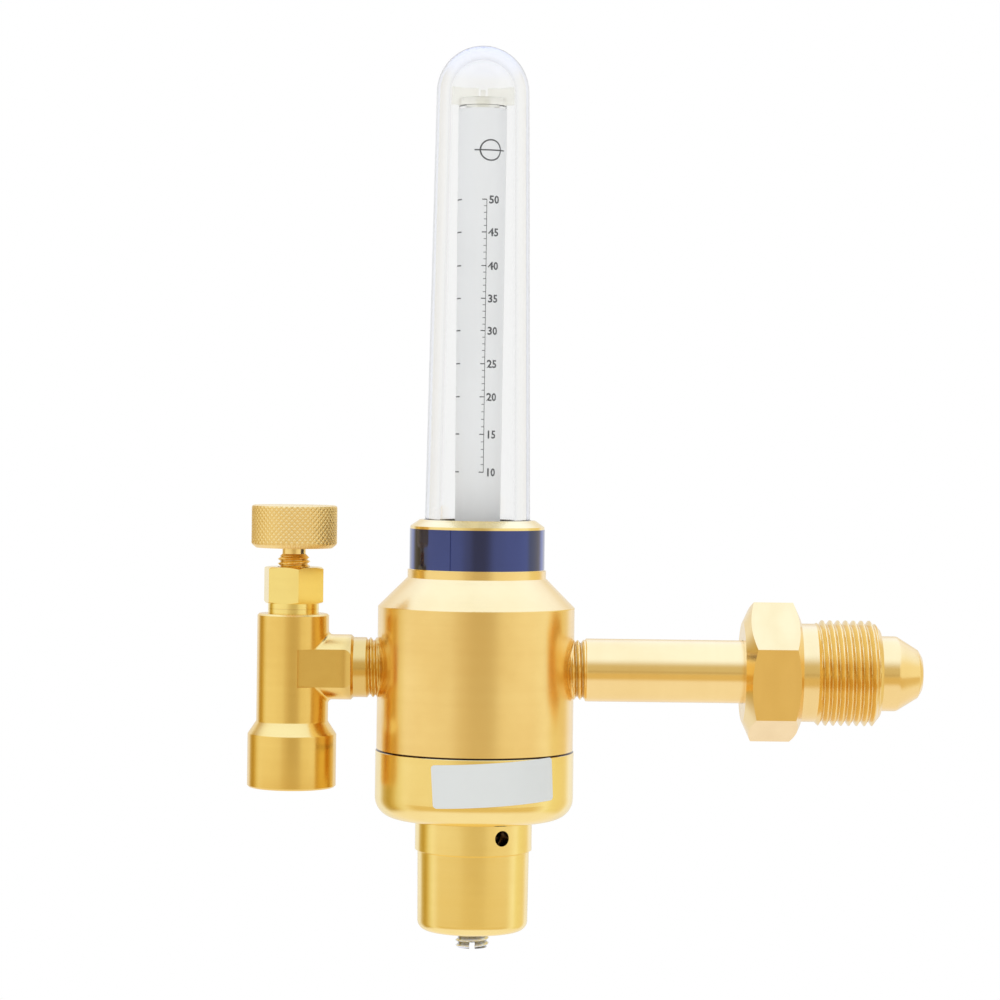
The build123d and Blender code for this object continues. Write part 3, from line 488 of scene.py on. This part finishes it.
# Scale print. Thin black ink on the film: a row of marks down its left edge for reading the ball, a
# finer ladder with plain numbers beside it, and a ring with a line through its middle at the top.
tube_foot, tube_length = 8.5 * mm, 121.5 * mm
tube_radius, tube_swell = 5.0 * mm, 0.5 * mm
film_thickness, film_start, ink_lift = 0.15 * mm, math.radians(-85), 0.02 * mm
left_edge = film_start * (tube_radius + tube_swell)
rule_inset, rule_width, rule_foot, rule_top = 0.4 * mm, 0.15 * mm, 44 * mm, 110 * mm
mark_heights = np.array([45.6, 54.3, 62.9, 70.5, 78.1, 85.5, 93.0, 100.7, 108.2]) * mm
mark_inset, mark_length, mark_half = 0.3 * mm, 2.9 * mm, 0.14 * mm
ladder_s, ladder_half = 1.1 * mm, 0.06 * mm
rung_length, rung_half, short_rung, short_half, rung_gaps = 1.0 * mm, 0.11 * mm, 0.6 * mm, 0.07 * mm, 5
first_number, number_step, number_gap, number_height, number_swell = 10, 5, 1.7 * mm, 2.5 * mm, 0.06 * mm
ring_s, ring_z, ring_radius, ring_width = 1.9 * mm, 119.5 * mm, 2.5 * mm, 0.32 * mm
cross_reach, cross_half = 3.6 * mm, 0.15 * mm


def on_film(s, z):
    """Point of the ink at arc length s right of the front and height z. The film's radius grows evenly
    with height, as the tube's does."""
    radius = tube_radius + tube_swell * (z - tube_foot) / tube_length + film_thickness + ink_lift
    turn = s / radius
    return np.stack([flow_axis_x + radius * np.sin(turn), -radius * np.cos(turn), z + 0 * turn], -1)


def bar(s0, s1, z0, z1, steps=8):
    """Curved strip of ink between two arc lengths and two heights."""
    s, z = np.meshgrid(np.linspace(s0, s1, steps), np.array([z0, z1]))
    return on_film(s, z), grid_faces(2, steps, wrap=False)


def rung(end, length, z, half):
    """Level strip of ink that ends at an arc length, about a height."""
    return bar(end - length, end, z - half, z + half)


def ring_mark(s, z, radius, width, steps=48):
    """Ring of ink about a point of the film."""
    angle = np.linspace(0, 2 * math.pi, steps, endpoint=False)
    turn, out = np.meshgrid(angle, np.array([radius - width, radius]))
    return on_film(s + out * np.cos(turn), z + out * np.sin(turn)), grid_faces(2, steps)


def printed_number(text, s, z, height):
    """Plain number as flat triangles, bent on to the film, with its middle at height z."""
    middle_share = 0.35
    curve = bpy.data.curves.new("number", "FONT")
    curve.body = text
    curve.size = height
    curve.align_x = "CENTER"
    curve.resolution_u = 2
    curve.offset = number_swell
    letter = bpy.data.objects.new("number", curve)
    mesh = bpy.data.meshes.new_from_object(letter)
    flat = np.empty(len(mesh.vertices) * 3, np.float32)
    mesh.vertices.foreach_get("co", flat)
    flat = flat.reshape(-1, 3).astype(float)
    faces = [tuple(p.vertices) for p in mesh.polygons]
    bpy.data.objects.remove(letter)
    return on_film(s + flat[:, 0], z - height * middle_share + flat[:, 1]), faces


ink_parts = [bar(left_edge + rule_inset, left_edge + rule_inset + rule_width, rule_foot, rule_top)]
for count, z in enumerate(mark_heights):
    ink_parts.append(rung(left_edge + mark_inset + mark_length, mark_length, z, mark_half))
    ink_parts.append(rung(ladder_s, rung_length, z, rung_half))
    number = str(first_number + number_step * count)
    ink_parts.append(printed_number(number, ladder_s + number_gap, z, number_height))
for low, high in zip(mark_heights[:-1], mark_heights[1:]):
    for z in np.linspace(low, high, rung_gaps + 1)[1:-1]:
        ink_parts.append(rung(ladder_s, short_rung, z, short_half))
ink_parts.append(bar(ladder_s - ladder_half, ladder_s + ladder_half, mark_heights[0], mark_heights[-1]))
ink_parts.append(ring_mark(ring_s, ring_z, ring_radius, ring_width))
cross = bar(ring_s - cross_reach, ring_s + cross_reach, ring_z - cross_half, ring_z + cross_half, 24)
ink_parts.append(cross)
ink = plain("scale_ink", (0.055, 0.058, 0.065), rough=0.5)
scale_print = put_together("scale_print", ink_parts, ink, "regulator")

# Needle valve. The tee is a brass forging, bored and turned, with two wrench flats milled on its
# branch; past the flats its band, nipple and thread are coloured a darker olive, which is painted reflection
# and shade.
# The hexagon gland is cut from bar, and the knob is turned and rolled with a diamond knurl.
inch = 25.4 * mm
valve_axis_x = -127.75 * mm
valve_axis = (valve_axis_x, 0, 0)
# gold_painted_shade is painted shade: a darker gold for the gland's foot and the needle stem's thread roots.
gold_painted_shade = (0.74, 0.5, 0.17)
tee_tones = (0.885, 0.61, 0.172), (0.865, 0.585, 0.16)
pipe_wide, pipe_narrow, pipe_step = 7.0 * mm, 6.528 * mm, 0.05 * mm
pipe_thread = dict(pitch=inch / 18, depth=0.7 * mm, lead_in=0.5 * mm, into_body=True)
nipple_end, nipple_tip = -110.75 * mm, -95.65 * mm
# Painted reflection and shade: beyond 12.6 mm from the valve's axis the tee is a darker olive, over the band
# past the flats, the nipple and its thread.
nipple_painted_shade_and_reflection = dict(deep=14.0 * mm, unmarked=12.6 * mm, low=-8 * mm, high=8 * mm, stain_and_shade=(0.76, 0.5, 0.135))
tee_brass = metal("tee_brass", *tee_tones, rough=0.2, centre=valve_axis, rings=3.0, grooves=(nipple_painted_shade_and_reflection,))
tee = threaded(
    "valve_body", "valve_tee", (0, 0), x_way,
    [(nipple_end, pipe_wide - pipe_step), (nipple_end, pipe_wide), (nipple_tip, pipe_narrow)],
    [(nipple_end, pipe_wide - pipe_step), (nipple_end + pipe_step, pipe_wide), (nipple_tip, pipe_narrow)],
    (pipe_wide, pipe_narrow), pipe_thread, tee_brass, "regulator",
)

gland_tones = (0.95, 0.745, 0.25), (0.93, 0.72, 0.24)
# Painted shade: the gland's foot, where it sits on the tee, is coloured a darker gold.
gland_foot = dict(deep=5 * mm, unmarked=6.4 * mm, low=13.3 * mm, high=13.6 * mm, stain_and_shade=gold_painted_shade)
gland_brass = metal("gland_brass", *gland_tones, rough=0.17, centre=valve_axis, grooves=(gland_foot,))
finish_node("valve_gland", gland_brass)

stem_foot, stem_top, stem_crest = 15.8 * mm, 26.1 * mm, 3.75 * mm
stem_rod, stem_neck = 3.05 * mm, 2.73 * mm
# Painted shade: the needle stem's thread roots are coloured a darker gold, where shade falls in the grooves.
needle_thread_shade = dict(deep=3.1 * mm, unmarked=3.6 * mm, low=stem_foot, high=stem_top, stain_and_shade=gold_painted_shade)
stem_metal = metal("stem_metal", *brass_tones, rough=0.17, centre=valve_axis, grooves=(needle_thread_shade,))
needle = threaded(
    "needle_stem", "stem_with_thread", (valve_axis_x, 0), z_way,
    [(stem_foot, stem_rod), (stem_foot, stem_crest), (stem_top, stem_crest), (stem_top, stem_neck)],
    [
        (stem_foot, stem_rod), (stem_foot + stem_crest - stem_rod, stem_crest),
        (stem_top - stem_crest + stem_neck, stem_crest), (stem_top, stem_neck),
    ],
    (stem_crest, stem_crest), dict(pitch=inch / 24, depth=0.6 * mm, lead_in=0), stem_metal, "valve_handle",
)

knob_radius, knob_foot, knob_top = 9.9 * mm, 27.5 * mm, 37.4 * mm
knob_tones = (0.955, 0.715, 0.285), (0.94, 0.695, 0.265)


def knurled_knob():
    """Round knob as a grid. Its wall's radius falls by the knurl's depth where either of two crossing
    sets of helical grooves runs, so that four-sided points are left between them."""
    chamfer, foot_chamfer, top_chamfer, starts, depth = 0.8 * mm, 1.1 * mm, 0.2 * mm, 50, 0.15 * mm
    bore, bore_end, plain_edge, steepness = stem_neck, 36.5 * mm, 0.35 * mm, 1.5
    rows, columns_per_start, face_share, pole_radius = 72, 10, 0.55, 0.02 * mm
    angle = np.linspace(0, 2 * math.pi, starts * columns_per_start, endpoint=False)
    wall_z = np.linspace(knob_foot + chamfer, knob_top - top_chamfer, rows)
    z, a = np.meshgrid(wall_z, angle, indexing="ij")
    turns = a * starts / (2 * math.pi)
    travel = (z - knob_foot) * starts / (2 * math.pi * knob_radius)
    one = 1 - abs(2 * ((turns + travel) % 1.0) - 1)
    two = 1 - abs(2 * ((turns - travel) % 1.0) - 1)
    peak = np.clip(np.minimum(one, two) * steepness, 0, 1)
    fade = np.clip(np.minimum(z - wall_z[0], wall_z[-1] - z) / plain_edge, 0, 1)
    wall_r = knob_radius - depth * (1 - peak * fade)
    root = knob_radius - depth
    below = [(bore, bore_end), (bore, knob_foot), (knob_radius - foot_chamfer, knob_foot), (root, wall_z[0])]
    above = [(root, wall_z[-1]), (root - top_chamfer, knob_top - top_chamfer / 2)]
    above += [(root - 2 * top_chamfer, knob_top), (knob_radius * face_share, knob_top)]
    above += [(pole_radius, knob_top)]
    radii = np.concatenate([[r + 0 * angle for r, _ in below], wall_r, [r + 0 * angle for r, _ in above]])
    heights = np.concatenate([[h + 0 * angle for _, h in below], z, [h + 0 * angle for _, h in above]])
    grid = np.stack([valve_axis_x + radii * np.cos(angle), radii * np.sin(angle), heights], -1)
    return grid, grid_faces(*grid.shape[:2])


# Painted shade: the knurl's grooves are coloured darker than its points, for the shade between them.
knurl_groove_shade = dict(deep=9.73 * mm, unmarked=9.87 * mm, low=28.3 * mm, high=37.2 * mm, stain_and_shade=(0.88, 0.63, 0.23))
knurl_brass = metal(
    "knurl_brass", *knob_tones, rough=0.38, centre=valve_axis, cut=0.003 * mm, grooves=(knurl_groove_shade,)
)
knob = put_together("knurled_knob", [knurled_knob()], knurl_brass, "valve_handle", 40.0)
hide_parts("valve_knob")

# Inlet. The stem is a turned nipple with a pipe thread at one end and a bullet nose at the other.
# The nut is hexagon bar with turned chamfers and a coarse thread, and it turns freely on the stem.
axis_to_x = (0, -math.pi / 2, 0)
stem_tip, stem_shoulder = -75.05 * mm, -59.95 * mm
stem_line = [(stem_tip, pipe_narrow), (stem_shoulder, pipe_wide)]
# Painted shade: the inlet stem's thread roots are coloured brown, where shade falls in the grooves.
brown_painted_shade = (0.62, 0.4, 0.13)
inlet_thread_shade = dict(deep=6.2 * mm, unmarked=6.85 * mm, low=stem_tip, high=stem_shoulder, stain_and_shade=brown_painted_shade)
stem_brass = metal("stem_brass", *brass_tones, rough=0.17, turn=axis_to_x, grooves=(inlet_thread_shade,))
stem = threaded(
    "inlet_stem", "stem_with_nose", (0, 0), x_way, stem_line, stem_line,
    (pipe_narrow, pipe_wide), pipe_thread, stem_brass, "regulator",
)

neck_end, crest_end, nut_end = -6.65 * mm, 6.65 * mm, 8.25 * mm
neck_radius, crest_radius, end_radius = 11.4 * mm, 12.25 * mm, 10.2 * mm
nut_tones = (0.93, 0.68, 0.265), (0.9, 0.65, 0.245)
# Painted shade: the nut's thread roots are coloured a darker gold, where shade falls in the grooves.
nut_painted_shade = (0.85, 0.6, 0.21)
nut_thread_shade = dict(deep=11.2 * mm, unmarked=12.0 * mm, low=neck_end + 0.2 * mm, high=crest_end, stain_and_shade=nut_painted_shade)
nut_brass = metal("nut_brass", *nut_tones, rough=0.17, turn=axis_to_x, rings=2.2, grooves=(nut_thread_shade,))
nut = threaded(
    "inlet_nut", "nut_with_thread", (0, 0), x_way,
    [(neck_end, neck_radius), (neck_end, crest_radius), (crest_end, crest_radius), (nut_end, end_radius)],
    [
        (neck_end, neck_radius), (neck_end + crest_radius - neck_radius, crest_radius),
        (crest_end, crest_radius), (nut_end, end_radius),
    ],
    (crest_radius, crest_radius), dict(pitch=inch / 14, depth=1.1 * mm, lead_in=0.3 * mm), nut_brass,
    "inlet_nut",
)
bronze = plain(
    "sintered_bronze", (0.5, 0.34, 0.2), rough=0.6, mottle=0.2, grain=2500.0, depth=0.2 * mm, metallic=0.8,
)
finish_node("inlet_filter", bronze)

# Label. A small sticker of white gloss paper with nothing printed on it, pressed on to the bonnet's
# round side.
blank_white = plain("blank_white", (0.76, 0.775, 0.745), rough=0.35, mottle=0.03, depth=0.005 * mm)
finish_node("blank_label", blank_white)

# Studio. A pale floor, white surroundings with a darker gap where the camera stands, and two large
# soft lamps. The camera stands in front, a little above the side ports.
black, white = (0, 0, 0), (1, 1, 1)
wall_stops = [
    (-180, (0.9, 0.9, 0.91)), (-158, (0.92, 0.93, 0.97)), (-142, (0.97, 1.03, 1.25)),
    (-128, (0.6, 0.46, 0.17)), (-117, (0.5, 0.34, 0.07)), (-108, (0.7, 0.54, 0.2)), (-98, (0.9, 0.86, 0.68)),
    (-88, (1.0, 1.0, 1.0)), (-60, (1.0, 1.0, 0.98)), (-32, (0.95, 0.94, 0.9)), (-14, (0.76, 0.69, 0.57)),
    (0, (0.72, 0.66, 0.53)), (18, (0.72, 0.66, 0.54)), (34, (0.95, 0.93, 0.86)), (60, (1.02, 1.02, 1.0)),
    (92, (1.03, 1.06, 1.08)), (104, (0.92, 0.87, 0.62)), (128, (0.9, 0.8, 0.54)), (144, (1.0, 1.05, 1.3)),
    (158, (0.92, 0.93, 0.97)), (180, (0.9, 0.9, 0.91)),
]
strip_stops = [(-180, black), (-16, black), (-2, white), (10, white), (26, black), (180, black)]
strip_colour, strip_foot, strip_top = (0.52, 0.42, 0.26, 1), (-0.07, -0.045), (0.02, -0.01)
bench_colour, bench_edge, bench_front = (0.8, 0.65, 0.39, 1), (-0.1, -0.165), (0.1, -0.3)
ground_colour, ground_edge = (1.0, 1.0, 1.15, 1), (-0.42, -0.6)
cloth_colour, cloth_edge = (1.12, 1.4, 2.5, 1), (0.3, 0.75)
matt_light = (0.72, 0.73, 0.75, 1)
glass_reach, glass_front, glass_back = (0.1, 0.8), 0.86, 1.12


def ramp_of(tree, around, stops):
    """Colour ramp over a full turn, from (degrees, colour) stops."""
    ramp = add(tree, "ShaderNodeValToRGB", {0: around})
    ramp.color_ramp.interpolation = "EASE"
    while len(ramp.color_ramp.elements) < len(stops):
        ramp.color_ramp.elements.new(0.5)
    for element, (degrees, colour) in zip(ramp.color_ramp.elements, stops):
        element.position = (degrees + 180) / 360
        element.color = (*colour, 1)
    return ramp.outputs[0]


def eased(tree, value, ends, low=0.0, high=1.0):
    """Goes softly from low to high as a value goes from one end to the other."""
    return spread(tree, value, *ends, low, high, "SMOOTHSTEP")


def studio_world():
    """White to the eye, and nearly so through glass. Shiny metal sees a soft tent with a darker gap round
    the camera, a wooden door to each side, a narrow dark strip at eye level and the edge of a warm bench
    low in front, pale ground and bright cloth overhead."""
    world = bpy.data.worlds.new("studio")
    world.use_nodes = True
    tree = world.node_tree
    tree.nodes.clear()
    place = add(tree, "ShaderNodeTexCoord").outputs["Generated"]
    across, back, up = add(tree, "ShaderNodeSeparateXYZ", {0: place}).outputs
    bearing = maths(tree, "ARCTAN2", across, maths(tree, "MULTIPLY", back, -1.0))
    around = spread(tree, bearing, -math.pi, math.pi)
    level = maths(tree, "MULTIPLY", eased(tree, up, strip_foot), eased(tree, up, strip_top))
    strip = maths(tree, "MULTIPLY", level, ramp_of(tree, around, strip_stops))
    seen = blended(tree, strip, ramp_of(tree, around, wall_stops), strip_colour)
    bench = maths(tree, "MULTIPLY", eased(tree, up, bench_edge), eased(tree, back, bench_front))
    seen = blended(tree, bench, seen, bench_colour)
    seen = blended(tree, eased(tree, up, ground_edge), seen, ground_colour)
    seen = blended(tree, eased(tree, up, cloth_edge), seen, cloth_colour)
    light = add(tree, "ShaderNodeLightPath").outputs
    seen = blended(tree, light["Is Glossy Ray"], matt_light, seen)
    behind_glass = eased(tree, back, glass_reach, glass_front, glass_back)
    seen = blended(tree, light["Is Transmission Ray"], seen, behind_glass)
    seen = blended(tree, light["Is Camera Ray"], seen, (*white, 1))
    background = add(tree, "ShaderNodeBackground", {"Color": seen, "Strength": 1.0})
    add(tree, "ShaderNodeOutputWorld", {"Surface": background.outputs[0]})
    bpy.context.scene.world = world


lamp_aim, lamp_size = Vector((-0.06, 0, 0.04)), 0.8


def soft_lamp(name, place, watts):
    """Square soft lamp that faces the object, and isn't itself seen in the brass."""
    data = bpy.data.lights.new(name, "AREA")
    data.shape, data.size, data.energy = "SQUARE", lamp_size, watts
    lamp = bpy.data.objects.new(name, data)
    lamp.location = place
    lamp.rotation_euler = (lamp_aim - Vector(place)).to_track_quat("-Z", "Y").to_euler()
    lamp.visible_glossy = False
    lamp.visible_transmission = False
    bpy.context.scene.collection.objects.link(lamp)


floor_reach, floor_drop, floor_glow, floor_sides = 0.45, 0.2, 0.28, 96


def pale_floor():
    """Matt near-white. To the eye, in metal and through glass it has enough glow to be as white as the
    surroundings, and the object's shadow still darkens it."""
    material = plain("pale_floor", (0.97, 0.97, 0.97), rough=0.9, mottle=0.01, grain=20.0, depth=0.0)
    tree = material.node_tree
    shader = next(n for n in tree.nodes if n.type == "BSDF_PRINCIPLED")
    light = add(tree, "ShaderNodeLightPath").outputs
    seen = maths(tree, "MAXIMUM", light["Is Camera Ray"], light["Is Glossy Ray"])
    any_way = maths(tree, "MAXIMUM", seen, light["Is Transmission Ray"])
    shader.inputs["Emission Color"].default_value = (*white, 1)
    tree.links.new(maths(tree, "MULTIPLY", any_way, floor_glow), shader.inputs["Emission Strength"])
    return material


studio_world()
soft_lamp("lamp_left", (-0.9, -0.9, 0.9), 5.0)
soft_lamp("lamp_right", (1.0, -0.7, 0.5), 3.0)

turn = np.linspace(0, 2 * math.pi, floor_sides, endpoint=False)
across, back = floor_reach * np.cos(turn), floor_reach * np.sin(turn)
rim = np.stack([flow_axis_x + across, back, 0 * turn - floor_drop], -1)
floor_mesh = bpy.data.meshes.new("floor")
floor_mesh.from_pydata(rim, [], [list(range(floor_sides))])
floor = bpy.data.objects.new("floor", floor_mesh)
bpy.context.scene.collection.objects.link(floor)
floor_mesh.materials.append(pale_floor())
floor.visible_glossy = False

camera_distance, camera_aside, camera_height, sensor = 0.700, -1.5 * mm, 51.5 * mm, 36.0
camera_focal, camera_yaw, camera_pitch, camera_roll = 3.020, 0.0095, 0.0176, 0.0133
camera_data = bpy.data.cameras.new("camera")
camera_data.sensor_width = sensor
camera_data.lens = camera_focal * sensor
camera_data.clip_end = 50.0
camera = bpy.data.objects.new("camera", camera_data)
camera.location = (flow_axis_x + camera_aside, -camera_distance, camera_height)
level_reach, drop = math.cos(camera_pitch), math.sin(camera_pitch)
look = Vector((math.sin(camera_yaw) * level_reach, math.cos(camera_yaw) * level_reach, -drop))
unrolled = look.to_track_quat("-Z", "Y").to_matrix()
camera.rotation_euler = (unrolled @ Matrix.Rotation(camera_roll, 3, "Z")).to_euler()
bpy.context.scene.collection.objects.link(camera)
bpy.context.scene.camera = camera
bpy.context.scene.view_settings.view_transform = "Standard"
